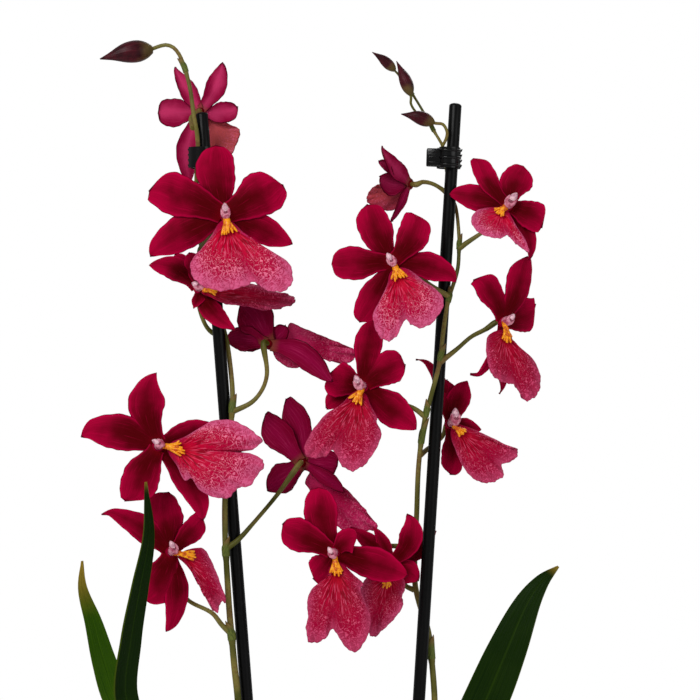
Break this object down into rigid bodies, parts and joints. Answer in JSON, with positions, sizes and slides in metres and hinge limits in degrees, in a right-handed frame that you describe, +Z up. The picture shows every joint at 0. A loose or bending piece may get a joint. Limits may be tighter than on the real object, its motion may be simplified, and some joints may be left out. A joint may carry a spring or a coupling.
{
  "type": "potted oncidium orchid",
  "caption": "Flowering oncidium orchid in a plain pot: crimson blooms on two staked arching spikes, buds, strap leaves and bulbs in bark",
  "frame": {"origin": "the middle of the pot's flat underside", "axes": "+Z up along the spikes, -Y towards the front that most blooms face, +X to the right as the front is seen"},
  "size_m": [0.2396, 0.1311, 0.6297],
  "materials": {
    "pot": "satin black moulded plastic",
    "bark": "rough dry bark chips",
    "bulb": "smooth waxy green bulb with papery sheaths",
    "leaf": "satin strap leaf, darker along its fold",
    "stake": "satin black coated rod",
    "clip": "glossy black moulded claw",
    "stem": "smooth olive green stem with brown flecks and sheaths",
    "bud": "waxy maroon bud with bronze green tints",
    "tepal": "velvety dark crimson with paler margins and backs",
    "lip": "crimson lip netted with white pink towards a waved margin",
    "callus": "waxy orange yellow ridges"
  },
  "bodies": {
    "root": {"pot": "pot", "bark": "bark", "pseudobulbs": "bulb", "leaf_1": "leaf", "leaf_2": "leaf", "leaf_3": "leaf", "leaf_4": "leaf", "leaf_5": "leaf", "leaf_6": "leaf", "stake_left": "stake", "stake_right": "stake", "clip_left": "clip", "clip_right": "clip", "spike_left": "stem", "spike_right": "stem", "bud_1": "bud", "bud_2": "bud", "bud_3": "bud", "bud_4": "bud", "tepals_01": "tepal", "tepals_02": "tepal", "tepals_03": "tepal", "tepals_04": "tepal", "tepals_05": "tepal", "tepals_06": "tepal", "tepals_07": "tepal", "tepals_08": "tepal", "tepals_09": "tepal", "tepals_10": "tepal", "tepals_11": "tepal", "tepals_12": "tepal", "tepals_13": "tepal", "tepals_14": "tepal", "tepals_15": "tepal", "lip_01": "lip", "lip_02": "lip", "lip_03": "lip", "lip_04": "lip", "lip_05": "lip", "lip_06": "lip", "lip_07": "lip", "lip_08": "lip", "lip_09": "lip", "lip_10": "lip", "lip_11": "lip", "lip_12": "lip", "lip_13": "lip", "lip_14": "lip", "lip_15": "lip", "callus_02": "callus", "callus_05": "callus", "callus_06": "callus", "callus_09": "callus", "callus_10": "callus", "callus_11": "callus", "callus_12": "callus", "callus_13": "callus", "callus_14": "callus"}
  },
  "joints": []
}
